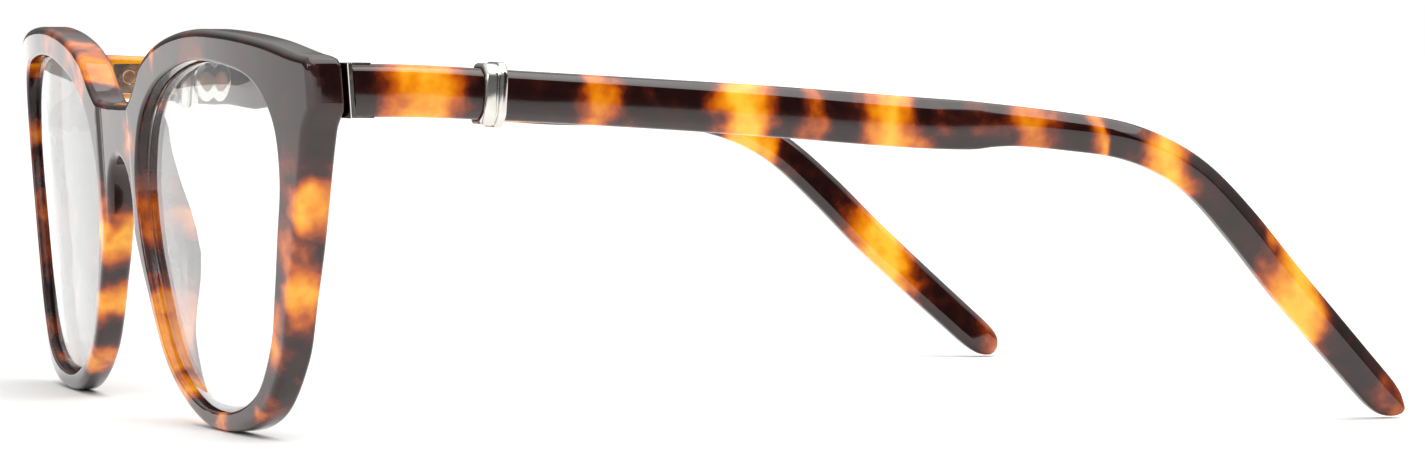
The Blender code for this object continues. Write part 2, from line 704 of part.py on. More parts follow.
def build_plate(side_name, surface, axis):
    side = SIDES[side_name]
    work = bmesh.new()
    add_box(work, *plate_corners())
    plate = new_object(f"{side_name}_inner_plate", work, surface, axis, side)
    hole = bmesh.new()
    add_pin_rod(hole, PIN_RADIUS + FIT, 2.0)
    boolean(plate, hole, "DIFFERENCE", axis, side)
    return plate


def build_pin(side_name, surface, axis):
    work = bmesh.new()
    add_pin_rod(work, PIN_RADIUS, 0.0)
    return new_object(f"{side_name}_temple_pin", work, surface, axis, SIDES[side_name])


def build_end_cap(side_name, surface, axis):
    """Metal plate on the temple's front face, with lips over and under the acetate."""
    side = SIDES[side_name]
    work = bmesh.new()
    tall = CAP_HEIGHT / 2
    made = add_box(work, (INNER_FACE, CAP_FACE, HINGE_LEVEL - tall),
                   (END_X, CAP_FACE + CAP_THICKNESS, HINGE_LEVEL + tall))
    for vert in made:
        vert.co.y += mitre(vert.co.x, vert.co.z)
    cap = new_object(f"{side_name}_temple_end_cap", work, surface, axis, side)
    lips = bmesh.new()
    add_lips(lips, 0.0, 0.0)
    boolean(cap, lips, "UNION", axis, side)
    return cap


def build_core(side_name, surface, axis):
    work = bmesh.new()
    angles = [2 * math.pi * i / 12 for i in range(12)]
    start = share_of(PIN_SETBACK + PIN_RADIUS + CORE_START)
    end = 1 - CORE_END / TEMPLE_REACH
    rings = [tube_ring(share, CORE_RADIUS, angles) for share in path_shares(start, end, 1)]
    made = add_skin(work, rings)
    close_end(work, made[0])
    close_end(work, made[-1])
    return new_object(f"{side_name}_core_wire", work, surface, axis, SIDES[side_name])


def build_ring(side_name, surface, axis):
    """Band round the temple with a disc on the inner side."""
    side = SIDES[side_name]
    start, end = share_of(RING_START), share_of(RING_START + RING_WIDTH)
    soft = (end - start) * 0.12
    step = start + (end - start) * 0.56
    wall = RING_WALL
    profile = [(start, FIT), (start, wall * 0.55), (start + soft, wall * 0.8), (step, wall * 0.8),
               (step + soft / 2, wall * 1.1), (end - soft, wall * 1.1), (end, wall * 0.8), (end, FIT)]
    work = bmesh.new()
    made = add_skin(work, [section(share, wider) for share, wider in profile])
    bridge(work, made[-1], made[0])
    ring = new_object(f"{side_name}_ring", work, surface, axis, side)
    disc = bmesh.new()
    middle = temple_middle(end)
    face = middle.x - TEMPLE_THICKNESS * station_at(end)[2] / 2 - FIT
    y = CAP_FACE + RING_START + RING_WIDTH + DISC_WIDTH * 0.28
    made = add_rod(disc, (face - wall * 1.3, 0, 0), (face - 0.03, 0, 0), 0.5, 28)
    bmesh.ops.scale(disc, vec=(1, DISC_WIDTH, DISC_HEIGHT), verts=made)
    bmesh.ops.translate(disc, vec=(0, y, middle.z), verts=made)
    boolean(ring, disc, "UNION", axis, side)
    return ring


def centre_on_floor():
    """Move everything so that the middle of the bounding box's underside is the origin."""
    bpy.context.view_layer.update()
    corners = [item.matrix_world @ Vector(corner)
               for item in bpy.data.objects if item.type == "MESH" for corner in item.bound_box]
    low = Vector([min(c[i] for c in corners) for i in range(3)])
    high = Vector([max(c[i] for c in corners) for i in range(3)])
    shift = Vector((-(low.x + high.x) / 2, -(low.y + high.y) / 2, -low.z))
    for item in bpy.data.objects:
        if item.parent is None:
            item.location += shift
    print("size", [round(v / MM, 2) for v in high - low], "shift", [round(v / MM, 3) for v in shift])


def build():
    clear_scene()
    acetate = material("tortoiseshell_acetate", (0.11, 0.035, 0.012), 0.16)
    lens = material("clear_lens", (0.92, 0.94, 0.95), 0.03, transmission=1.0)
    trim = material("polished_palladium", (0.78, 0.78, 0.77), 0.12, metallic=1.0)
    steel = material("brushed_steel", (0.52, 0.52, 0.51), 0.35, metallic=1.0)
    build_front(acetate)
    for side_name, side in SIDES.items():
        axis = bpy.data.objects.new(f"{side_name}_temple_axis", None)
        axis.location = Vector((AXIS_X * side, AXIS_Y, HINGE_LEVEL)) * MM
        bpy.context.scene.collection.objects.link(axis)
        build_lens(side_name, lens)
        build_front_hinge(side_name, steel)
        build_screw(side_name, steel)
        build_temple(side_name, acetate, axis)
        build_temple_hinge(side_name, steel, axis)
        build_end_cap(side_name, trim, axis)
        build_core(side_name, steel, axis)
        build_ring(side_name, trim, axis)
        build_plate(side_name, trim, axis)
        build_pin(side_name, trim, axis)
    centre_on_floor()
    for item in bpy.data.objects:
        if item.type == "EMPTY":
            print(item.name, [round(v / MM, 3) for v in item.location])


build()
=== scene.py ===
import math

import bmesh
import bpy
from mathutils import Matrix, Vector
from mathutils.geometry import interpolate_bezier


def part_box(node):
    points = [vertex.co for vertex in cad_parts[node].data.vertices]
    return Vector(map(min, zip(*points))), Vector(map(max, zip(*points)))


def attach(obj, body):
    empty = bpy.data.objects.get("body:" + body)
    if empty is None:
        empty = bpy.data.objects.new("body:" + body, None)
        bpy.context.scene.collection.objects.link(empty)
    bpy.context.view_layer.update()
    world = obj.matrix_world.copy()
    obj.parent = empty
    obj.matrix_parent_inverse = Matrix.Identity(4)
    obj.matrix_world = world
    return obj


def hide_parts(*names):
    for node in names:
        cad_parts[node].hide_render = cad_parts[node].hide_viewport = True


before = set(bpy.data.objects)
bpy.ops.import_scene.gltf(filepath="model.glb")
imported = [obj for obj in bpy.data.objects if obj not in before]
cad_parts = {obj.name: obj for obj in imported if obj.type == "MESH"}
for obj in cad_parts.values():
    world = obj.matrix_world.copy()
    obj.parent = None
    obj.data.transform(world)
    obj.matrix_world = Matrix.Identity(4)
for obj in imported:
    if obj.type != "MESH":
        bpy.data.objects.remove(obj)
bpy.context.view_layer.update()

mm = 0.001
sides = {"left": 1, "right": -1}

# Sizes in millimetres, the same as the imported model's.
front = {
    "lensWidth": 47.2, "lensHeight": 40.0, "noseGap": 17.9, "bridgeDrop": 5.3,
    "bridgeHeight": 6.7, "thickness": 4.2, "taper": 0.24, "radius": 590.0,
    "sweepStart": 38.0, "sweepRadius": 156.0, "lean": 0.075, "rimFoot": 2.2,
    "endOutreach": 7.8, "endRise": 0.65, "endHeight": 6.6, "endCorner": 0.7,
    # rounded edges: radius, steps and the flat strip beside them
    "edgeRound": 0.9, "edgeSteps": 6, "edgeSupport": 0.15,
    "openingRound": 0.35, "openingSteps": 4, "openingSupport": 0.1,
    "outlineStep": 0.7, "openingStep": 0.9, "sharpAngle": 50,
    # cuts that let the flat pattern bend: upright every strip, level every row
    "stripWidth": 1.0, "strips": 64, "rowStart": 2, "rowStep": 4, "rowEnd": 46,
    # shallow recess across the bridge, and the extra cuts beside its edges
    "saddleHalf": 6.9, "saddleDepth": 0.38, "saddleEdge": 0.7,
    "saddleCuts": (-0.35, -0.18, 0.18, 0.35),
}
# Bridge: its flat top, its rise to the rims, then (x, drop) of the arch beneath.
bridge = {
    "flat": 3.4, "shoulderShare": 0.5, "shoulderRise": 0.3, "footInset": 4.2, "footRise": 1.9,
    "archFoot": (4.4, 2.7), "archShoulder": (2.6, 0.75),
}
hinge = {"drop": 0.25, "pinBehind": 1.3, "screwTop": 2.52}
lensSizes = {
    "plane": 0.54, "half": 0.75, "bulge": 1.0, "slack": 0.15, "bevel": 0.5,
    "rings": (0.04, 0.16, 0.3, 0.44, 0.58, 0.72, 0.86, 0.95, 1.0),
}
pads = {
    "root": 2.0, "reach": 4.6, "width": 2.9, "inset": 0.2, "splay": 0.22,
    "crestStep": 0.03, "levelStep": 0.6, "ovalPoints": 28,
}
# Room for the lens, cut out of the pads.
lensSpace = {"grown": 0.95, "start": -8.0, "gap": 1.05}
temple = {
    "reach": 134.9, "thickness": 4.0, "splay": 0.032, "splayStart": 6.0, "toeIn": 9.5,
    "toeStart": 0.68, "gap": 0.3, "capThickness": 0.55, "fit": 0.12, "bevelSet": 1.1,
    "cornerRound": 0.4, "mitreFade": 12.0, "longSteps": 150, "tipStart": 0.965, "tipSteps": 22,
}
ringSizes = {
    "start": 15.4, "width": 2.5, "wall": 0.75, "discWidth": 3.4, "discHeight": 5.0,
    "discSet": 0.28, "discRoot": 0.03, "discPoints": 40,
}
# Ring: share of its width and wall. Disc: share of the ring's wall and of its own size.
ringProfile = [
    (0.0, 0.35), (0.04, 0.62), (0.14, 0.8), (0.52, 0.82), (0.55, 0.72), (0.60, 0.74),
    (0.63, 0.98), (0.70, 1.1), (0.90, 1.1), (0.98, 0.95), (1.0, 0.7),
]
discProfile = [(0.95, 1.0), (1.2, 0.96), (1.3, 0.88), (1.3, 0.5), (1.3, 0.1)]

# Opening: shares of half the width and height, then the rim's width.
opening = [
    (0.995, 0.36, 5.6), (0.965, 0.68, 6.4), (0.79, 0.895, 5.2), (0.45, 0.985, 3.8),
    (0.02, 1.0, 3.6), (-0.41, 0.915, 4.1), (-0.69, 0.79, 4.6), (-0.875, 0.62, 5.0),
    (-0.99, 0.32, 4.6), (-0.98, 0.03, 3.4), (-0.90, -0.25, 2.3), (-0.635, -0.735, 1.8),
    (-0.21, -0.973, 2.0), (0.25, -0.99, 2.2), (0.60, -0.86, 2.8), (0.79, -0.58, 3.4),
    (0.872, -0.27, 3.7), (0.935, 0.04, 4.3),
]
rimTop, rimLow = slice(2, 7), slice(9, 18)

# Crest of the pads: level as a share of the half height, share of the reach.
padCrest = [
    (0.70, -0.15), (0.58, 0.20), (0.47, 0.32), (0.32, 0.53), (0.15, 0.78), (0.02, 0.94),
    (-0.10, 1.00), (-0.22, 0.96), (-0.34, 0.83), (-0.45, 0.66), (-0.60, 0.47), (-0.72, 0.38),
    (-0.82, 0.26), (-0.90, 0.10), (-0.94, -0.15),
]

# Share of reach, share of height lost, height, share of thickness, upper and lower bevel.
stations = [
    (0.000, 0.000, 5.90, 1.00, 0.12, 0.22), (0.054, 0.002, 5.80, 1.00, 0.13, 0.21),
    (0.121, 0.012, 5.65, 1.00, 0.15, 0.19), (0.248, 0.035, 5.62, 0.97, 0.17, 0.18),
    (0.368, 0.060, 5.75, 0.93, 0.21, 0.24), (0.487, 0.090, 5.82, 0.88, 0.26, 0.31),
    (0.549, 0.101, 5.55, 0.84, 0.29, 0.36), (0.569, 0.101, 5.00, 0.83, 0.30, 0.38),
    (0.592, 0.104, 4.60, 0.82, 0.31, 0.41), (0.636, 0.119, 4.40, 0.80, 0.33, 0.45),
    (0.689, 0.145, 4.28, 0.78, 0.35, 0.49), (0.733, 0.196, 4.22, 0.77, 0.36, 0.53),
    (0.771, 0.271, 4.35, 0.77, 0.37, 0.56), (0.815, 0.405, 4.62, 0.79, 0.38, 0.57),
    (0.860, 0.561, 4.75, 0.80, 0.38, 0.58), (0.905, 0.706, 4.70, 0.80, 0.38, 0.58),
    (0.950, 0.848, 4.58, 0.79, 0.38, 0.58), (0.970, 0.910, 4.50, 0.76, 0.38, 0.58),
    (0.981, 0.941, 4.15, 0.69, 0.38, 0.58), (0.989, 0.960, 3.35, 0.58, 0.38, 0.58),
    (0.995, 0.974, 2.05, 0.40, 0.38, 0.58), (0.998, 0.980, 0.90, 0.20, 0.38, 0.58),
]

halfWidth, halfHeight = front["lensWidth"] / 2, front["lensHeight"] / 2
lensX = front["noseGap"] / 2 + halfWidth
lensZ = front["rimFoot"] + halfHeight
endX = lensX + halfWidth + front["endOutreach"]
endTop = front["rimFoot"] + front["lensHeight"] + front["endRise"]
endFoot = endTop - front["endHeight"]
hingeLevel = endTop - front["endHeight"] / 2 - hinge["drop"]
bridgeTop = front["rimFoot"] + front["lensHeight"] - front["bridgeDrop"]
bridgeArch = bridgeTop - front["bridgeHeight"]
lensPlane = front["thickness"] * lensSizes["plane"]


def bow(x):
    swept = max(0.0, abs(x) - front["sweepStart"])
    return x * x / 2 / front["radius"] + swept * swept / 2 / front["sweepRadius"]


endBack = front["thickness"] + bow(endX)
capFace = endBack + temple["gap"]
templeStart = capFace + temple["capThickness"] + temple["fit"]
tipY = endBack + temple["reach"]
endSlope = endX / front["radius"] + (endX - front["sweepStart"]) / front["sweepRadius"]

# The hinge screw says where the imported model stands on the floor.
screwLow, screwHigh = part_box("left_hinge_screw")
shift = Vector((0, (screwLow.y + screwHigh.y) / 2 / mm - endBack - hinge["pinBehind"],
                screwHigh.z / mm - hingeLevel - hinge["screwTop"]))


def seated(x, depth, z):
    # a point of the flat front pattern, thinned, bowed and leant into place
    if depth < front["thickness"] / 2:
        edge = (front["saddleHalf"] - abs(x)) / front["saddleEdge"] + 0.5
        edge = min(1.0, max(0.0, edge))
        depth += front["saddleDepth"] * edge * edge * (3 - 2 * edge)
    thinning = 1 - front["taper"] * max(0.0, endFoot - z) / endFoot
    return Vector((x, depth * thinning + bow(x) + front["lean"] * (hingeLevel - z), z))


def curveThrough(points, closed, spacing):
    count, samples = len(points), []
    for i in range(count if closed else count - 1):
        b, c = points[i], points[(i + 1) % count]
        a = points[i - 1] if closed or i else b * 2 - c
        d = points[(i + 2) % count] if closed or i + 2 < count else c * 2 - b
        reach = (c - b).length
        leaving = (c - a) * (reach / (reach + (b - a).length))
        arriving = (d - b) * (reach / (reach + (d - c).length))
        steps = max(1, round(reach / spacing))
        samples += interpolate_bezier(b, b + leaving / 3, c - arriving / 3, c, steps + 1)[:-1]
    return samples if closed else samples + [points[-1]]


def outward(loop):
    normals = []
    for i in range(len(loop)):
        along = loop[(i + 1) % len(loop)] - loop[i - 1]
        normals.append(Vector((along.z, 0, -along.x)).normalized())
    return normals


def grown(loop, distance):
    return [p + n * distance for p, n in zip(loop, outward(loop))]


def openingPoints():
    inner = [Vector((lensX + u * halfWidth, 0, lensZ + w * halfHeight)) for u, w, _ in opening]
    return inner, [p + n * row[2] for p, n, row in zip(inner, outward(inner), opening)]


def openingLoop(spacing=front["openingStep"]):
    return curveThrough(openingPoints()[0], True, spacing)


def frontOutline(spacing):
    outer, corner = openingPoints()[1], front["endCorner"]
    end = [Vector((endX + x, 0, z)) for x, z in (
        (-3.4, endTop + 0.55), (-corner, endTop + 0.05), (-0.1, endTop - corner),
        (0, endTop - 2.2), (0, endFoot + 1.8), (-0.1, endFoot + corner),
        (-corner, endFoot), (-1.7, endFoot - 1.6))]
    over = outer[rimTop]
    foot = over[-1].x
    half = [Vector((0, 0, bridgeTop)), Vector((bridge["flat"], 0, bridgeTop)),
            Vector((foot * bridge["shoulderShare"], 0, bridgeTop + bridge["shoulderRise"])),
            Vector((foot - bridge["footInset"], 0, bridgeTop + bridge["footRise"]))]
    half += over[::-1] + end + outer[rimLow][::-1]
    half += [Vector((x, 0, bridgeArch - drop))
             for x, drop in (bridge["archFoot"], bridge["archShoulder"], (0, 0))]
    ring = half + [Vector((-p.x, 0, p.z)) for p in half[1:-1]][::-1]
    return curveThrough(ring[::-1], True, spacing)


def addRing(work, points):
    verts = [work.verts.new(p) for p in points]
    return [work.edges.new((verts[i - 1], verts[i])) for i in range(len(verts))]


def loft(work, rings, capped=False):
    # rings of the same count, bridged one after the other
    made = [addRing(work, ring) for ring in rings]
    for one, following in zip(made, made[1:]):
        bmesh.ops.bridge_loops(work, edges=one + following)
    if capped:
        bmesh.ops.edgeloop_fill(work, edges=made[0])
        bmesh.ops.edgeloop_fill(work, edges=made[-1])
    return made


def addObject(name, data):
    item = bpy.data.objects.new(name, data)
    bpy.context.scene.collection.objects.link(item)
    return item


def finished(name, work, surface, body, nodes=(), side=1, angle=40):
    bmesh.ops.scale(work, vec=(side, 1, 1), verts=work.verts)
    bmesh.ops.translate(work, vec=shift, verts=work.verts)
    bmesh.ops.scale(work, vec=(mm, mm, mm), verts=work.verts)
    bmesh.ops.recalc_face_normals(work, faces=work.faces)
    mesh = bpy.data.meshes.new(name)
    work.to_mesh(mesh)
    work.free()
    mesh.shade_smooth()
    mesh.set_sharp_from_angle(angle=math.radians(angle))
    mesh.materials.append(surface)
    piece = addObject(name, mesh)
    if body:
        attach(piece, body)
        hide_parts(*nodes)
    return piece


def combined(piece, tool, operation):
    # apply a Boolean with another piece and remove that piece
    change = piece.modifiers.new(operation.lower(), "BOOLEAN")
    change.operation, change.solver, change.object = operation, "EXACT", tool
    bpy.context.view_layer.update()
    result = piece.evaluated_get(bpy.context.evaluated_depsgraph_get())
    piece.data = bpy.data.meshes.new_from_object(result)
    piece.modifiers.clear()
    bpy.data.objects.remove(tool, do_unlink=True)


# Materials

def linear(hexColour):
    parts = [int(hexColour[i:i + 2], 16) / 255 for i in (1, 3, 5)]
    return tuple(p / 12.92 if p <= 0.04045 else ((p + 0.055) / 1.055) ** 2.4
                 for p in parts) + (1.0,)


def newMaterial(name, **values):
    material = bpy.data.materials.new(name)
    material.use_nodes = True
    shader = material.node_tree.nodes["Principled BSDF"]
    for key, value in values.items():
        shader.inputs[key.replace("_", " ")].default_value = value
    return material, shader


def addNode(tree, kind, links=(), inputs=(), **settings):
    # one node with its settings, its input values and its incoming links
    node = tree.nodes.new(kind)
    for key, value in settings.items():
        setattr(node, key, value)
    for key, value in dict(inputs).items():
        node.inputs[key].default_value = value
    for key, source in dict(links).items():
        tree.links.new(source, node.inputs[key])
    return node


def setRamp(node, stops, interpolation="LINEAR"):
    ramp = node.color_ramp
    ramp.interpolation = interpolation
    while len(ramp.elements) > 1:
        ramp.elements.remove(ramp.elements[-1])
    ramp.elements[0].position, ramp.elements[0].color = stops[0][0], stops[0][1]
    for place, colour in stops[1:]:
        ramp.elements.new(place).color = colour


tortoise = {
    "colours": [(0.00, "#1c0b0a"), (0.16, "#35130d"), (0.32, "#6e280c"), (0.50, "#b9560a"),
                (0.72, "#e58a0e"), (1.00, "#ffbe38")],
    "blotch": 1 / 13.0,                # one blotch in about 13 mm
    "blotchEdge": (0.53, 0.66),
    "wobble": 2.2,                     # mm that the patches' edges wander
    "patchEdge": (1.40, 0.35),         # shares of the radii where a patch ends and is full
    "streaks": (-0.10, 0.12),
    "gloss": (0.04, 0.13),
    "span": (-70.0, 80.0),             # mm that the temples' bands are set out in
}


def grey(value):
    return (value, value, value, 1.0)


def acetate(name, seed, patches, bands, noiseShare):
    # cellulose acetate cut from a block with amber clouds, then tumbled and polished:
    # deep brown with glowing amber patches under a clear gloss
    material, shader = newMaterial(name, IOR=1.49, Coat_Weight=0.3, Coat_Roughness=0.02)
    tree = material.node_tree
    place = addNode(tree, "ShaderNodeTexCoord")
    inMm = addNode(tree, "ShaderNodeVectorMath", {0: place.outputs["Object"]},
                   {3: 1000.0}, operation="SCALE")
    shifted = addNode(tree, "ShaderNodeVectorMath", {0: inMm.outputs[0]},
                      {1: (seed * 37.0, seed * 11.0, seed * 5.0)}, operation="ADD")
    wander = addNode(tree, "ShaderNodeTexNoise", {"Vector": shifted.outputs[0]},
                     {"Scale": 0.19, "Detail": 2.5})
    centred = addNode(tree, "ShaderNodeVectorMath", {0: wander.outputs["Color"]},
                      {1: (0.5, 0.5, 0.5)}, operation="SUBTRACT")
    offset = addNode(tree, "ShaderNodeVectorMath", {0: centred.outputs[0]},
                     {3: tortoise["wobble"] * 3}, operation="SCALE")
    warped = addNode(tree, "ShaderNodeVectorMath",
                     {0: inMm.outputs[0], 1: offset.outputs[0]}, operation="ADD")
    clouds = addNode(tree, "ShaderNodeTexNoise", {"Vector": shifted.outputs[0]},
                     {"Scale": tortoise["blotch"], "Detail": 1.6, "Distortion": 0.9})
    level = addNode(tree, "ShaderNodeMapRange", {"Value": clouds.outputs["Fac"]},
                    {"From Min": tortoise["blotchEdge"][0],
                     "From Max": tortoise["blotchEdge"][1], "To Max": noiseShare})
    mask = level.outputs[0]
    if bands:
        split = addNode(tree, "ShaderNodeSeparateXYZ", {0: warped.outputs[0]})
        low, high = tortoise["span"]
        along = addNode(tree, "ShaderNodeMapRange", {"Value": split.outputs["Y"]},
                        {"From Min": low, "From Max": high})
        ramp = addNode(tree, "ShaderNodeValToRGB", {0: along.outputs[0]})
        stops = [(0.0, grey(0))]
        for middle, half, value in bands:
            at, reach = (middle + shift.y - low) / (high - low), half / (high - low)
            stops += [(at - reach, grey(0)), (at, grey(value)), (at + reach, grey(0))]
        setRamp(ramp, stops, "EASE")
        mask = addNode(tree, "ShaderNodeMath", {0: mask, 1: ramp.outputs[0]},
                       operation="MAXIMUM").outputs[0]
    for centre, radii, value in patches:
        near = addNode(tree, "ShaderNodeVectorMath", {0: warped.outputs[0]},
                       {1: (centre[0], centre[1] + shift.y, centre[2] + shift.z)},
                       operation="SUBTRACT")
        sized = addNode(tree, "ShaderNodeVectorMath", {0: near.outputs[0]},
                        {1: radii}, operation="DIVIDE")
        away = addNode(tree, "ShaderNodeVectorMath", {0: sized.outputs[0]}, operation="LENGTH")
        fade = addNode(tree, "ShaderNodeMapRange", {"Value": away.outputs["Value"]},
                       {"From Min": tortoise["patchEdge"][0],
                        "From Max": tortoise["patchEdge"][1], "To Max": abs(value)})
        # a negative patch subtracts from the amber: on the front this is the painted dark
        # reflection over the endpieces
        joining = "MAXIMUM" if value > 0 else "SUBTRACT"
        mask = addNode(tree, "ShaderNodeMath", {0: mask, 1: fade.outputs[0]},
                       operation=joining, use_clamp=value < 0).outputs[0]
    streaks = addNode(tree, "ShaderNodeTexNoise", {"Vector": shifted.outputs[0]},
                      {"Scale": 0.45, "Detail": 4.0})
    detail = addNode(tree, "ShaderNodeMapRange", {"Value": streaks.outputs["Fac"]},
                     {"From Min": 0.3, "From Max": 0.7,
                      "To Min": tortoise["streaks"][0], "To Max": tortoise["streaks"][1]})
    summed = addNode(tree, "ShaderNodeMath", {0: mask, 1: detail.outputs[0]},
                     operation="ADD", use_clamp=True)
    colour = addNode(tree, "ShaderNodeValToRGB", {0: summed.outputs[0]})
    setRamp(colour, [(at, linear(value)) for at, value in tortoise["colours"]])
    tree.links.new(colour.outputs[0], shader.inputs["Base Color"])
    wear = addNode(tree, "ShaderNodeTexNoise", {"Vector": shifted.outputs[0]},
                   {"Scale": 1.3, "Detail": 5.0})
    gloss = addNode(tree, "ShaderNodeMapRange", {"Value": wear.outputs["Fac"]},
                    {"To Min": tortoise["gloss"][0], "To Max": tortoise["gloss"][1]})
    tree.links.new(gloss.outputs[0], shader.inputs["Roughness"])
    waves = addNode(tree, "ShaderNodeTexNoise", {"Vector": shifted.outputs[0]},
                    {"Scale": 0.16, "Detail": 1.0})
    bump = addNode(tree, "ShaderNodeBump", {"Height": waves.outputs["Fac"]},
                   {"Strength": 0.12, "Distance": 0.0004})
    tree.links.new(bump.outputs[0], shader.inputs["Normal"])
    return material


def metal(name, hexColour, low, high, scale, stretch):
    # plated or brushed metal: roughness follows fine marks of the polishing
    material, shader = newMaterial(name, Metallic=1.0, Base_Color=linear(hexColour))
    tree = material.node_tree
    place = addNode(tree, "ShaderNodeTexCoord")
    mapped = addNode(tree, "ShaderNodeMapping", {"Vector": place.outputs["Object"]},
                     {"Scale": stretch})
    marks = addNode(tree, "ShaderNodeTexNoise", {"Vector": mapped.outputs[0]},
                    {"Scale": scale, "Detail": 4.0})
    gloss = addNode(tree, "ShaderNodeMapRange", {"Value": marks.outputs["Fac"]},
                    {"To Min": low, "To Max": high})
    tree.links.new(gloss.outputs[0], shader.inputs["Roughness"])
    bump = addNode(tree, "ShaderNodeBump", {"Height": marks.outputs["Fac"]},
                   {"Strength": 0.05, "Distance": 0.00005})
    tree.links.new(bump.outputs[0], shader.inputs["Normal"])
    return material


# Amber patches of the front: centre, radii and strength, in mm; a negative one darkens. The two
# negative ones, over both endpieces, are a painted dark reflection, not the acetate's own
# colour.
frontPatchesAndDarkReflection = [
    ((61.0, 6.0, 26.5), (4.5, 6.0, 3.2), 0.80), ((56.5, 5.0, 21.5), (2.6, 6.0, 4.6), 0.50),
    ((57.5, 6.0, 15.5), (3.4, 6.0, 4.2), 0.92), ((53.0, 2.0, 11.5), (3.4, 4.5, 4.2), 0.85),
    ((48.0, 3.0, 2.6), (3.4, 5.0, 1.8), 0.60), ((60.5, 6.0, 38.5), (9.0, 9.0, 6.5), -1.0),
    ((58.0, 6.0, 31.5), (3.6, 7.0, 2.4), 0.30), ((22.0, 4.0, 3.6), (4.0, 5.0, 2.6), 0.72),
    ((13.5, 3.0, 14.0), (2.2, 5.0, 3.2), 0.62), ((10.0, 3.5, 24.0), (2.0, 4.0, 5.0), 0.45),
    ((33.0, 3.0, 43.5), (5.0, 6.0, 2.6), 0.38), ((-7.5, 3.5, 21.0), (2.4, 6.0, 5.0), 0.85),
    ((-12.0, 3.5, 12.0), (2.6, 6.0, 3.4), 0.78), ((-19.0, 3.5, 5.0), (3.6, 6.0, 2.8), 0.74),
    ((6.0, 2.0, 33.0), (2.6, 4.0, 3.2), 0.68), ((-30.0, 3.0, 43.5), (6.0, 6.0, 3.0), 0.42),
    ((-57.0, 6.0, 13.0), (4.0, 6.0, 4.0), 0.80), ((-60.0, 6.0, 27.0), (4.0, 6.0, 3.4), 0.70),
    ((-60.5, 6.0, 38.5), (8.0, 9.0, 6.0), -1.0),
]
# Bands of the temples: middle along the temple, half width and strength.
templeBands = [
    (18.9, 7.2, 0.80), (39.0, 4.2, 0.60), (56.3, 5.6, 0.98), (64.4, 2.8, 0.46),
    (74.0, 5.6, 0.92), (91.6, 4.6, 0.60), (100.3, 3.6, 0.72), (108.5, 6.4, 0.98),
    (128.0, 7.6, 1.00), (144.0, 6.0, 0.42),
]
frontAcetate = acetate("polished_tortoise_acetate_front", 1, frontPatchesAndDarkReflection, [], 0.62)
templeAcetate = {side: acetate(f"polished_tortoise_acetate_{side}", seed, [], templeBands, 0.28)
                 for side, seed in (("left", 2), ("right", 3))}
# clear mineral glass, ground and polished
lensGlass, _ = newMaterial("clear_polished_lens", Base_Color=linear("#f6f8f8"), Roughness=0.0,
                           IOR=1.52, Transmission_Weight=1.0)
# brass plated with palladium and buffed to a mirror
palladium = metal("buffed_palladium_plate", "#d8d5cf", 0.05, 0.14, 900.0, (1, 1, 1))
# stainless hinge steel, brushed along the leaf
hingeSteel = metal("brushed_hinge_steel", "#a9a7a3", 0.22, 0.38, 1400.0, (1, 0.12, 1))
print("materials ready")


# Front

def noseSide(level):
    loop = openingLoop(pads["levelStep"])
    normals = outward(loop)
    for i in range(len(loop) - 1):
        high, low = loop[i], loop[i + 1]
        if high.x < lensX and high.z >= level > low.z:
            share = (high.z - level) / (high.z - low.z)
            return high.lerp(low, share), normals[i].lerp(normals[i + 1], share).normalized()
    return loop[-1], normals[-1]


def edgeProfile(radius, steps, support):
    # (inset, depth) from the front face, over both rounded edges, to the back face
    quarter = [(radius * (1 - math.sin(math.pi / 2 * s / steps)),
                radius * (1 - math.cos(math.pi / 2 * s / steps))) for s in range(steps + 1)]
    thick = front["thickness"]
    profile = [(radius + support, 0.0)] + quarter
    return profile + [(inset, thick - depth) for inset, depth in quarter[::-1]] + [
        (radius + support, thick)]


def makePads():
    work = bmesh.new()
    crest = [Vector((level, share, 0)) for level, share in padCrest]
    crest = curveThrough(crest, False, pads["crestStep"])
    for side in sides.values():
        ovals = []
        for point in crest:
            edge, normal = noseSide(lensZ + point.x * halfHeight)
            half = pads["width"] / 2 * (0.5 + 0.5 * max(point.y, 0.0))
            start = front["thickness"] - pads["root"]
            back = front["thickness"] + point.y * pads["reach"]
            oval = []
            for i in range(pads["ovalPoints"]):
                angle = 2 * math.pi * i / pads["ovalPoints"]
                depth = (start + back) / 2 + (back - start) / 2 * math.sin(angle)
                splayed = pads["splay"] * max(0.0, depth - front["thickness"])
                spot = edge + normal * (pads["inset"] + half * (1 + math.cos(angle)) - splayed)
                oval.append(seated(spot.x * side, depth, spot.z))
            ovals.append(oval)
        loft(work, ovals, True)
    return finished("pad_tool", work, frontAcetate, None)


def makeLensSpaces():
    work = bmesh.new()
    loop = grown(openingLoop(), lensSpace["grown"])
    depths = (lensSpace["start"], lensPlane + lensSpace["gap"])
    for side in sides.values():
        loft(work, [[seated(p.x * side, depth, p.z) for p in loop] for depth in depths], True)
    return finished("lens_space_tool", work, frontAcetate, None)


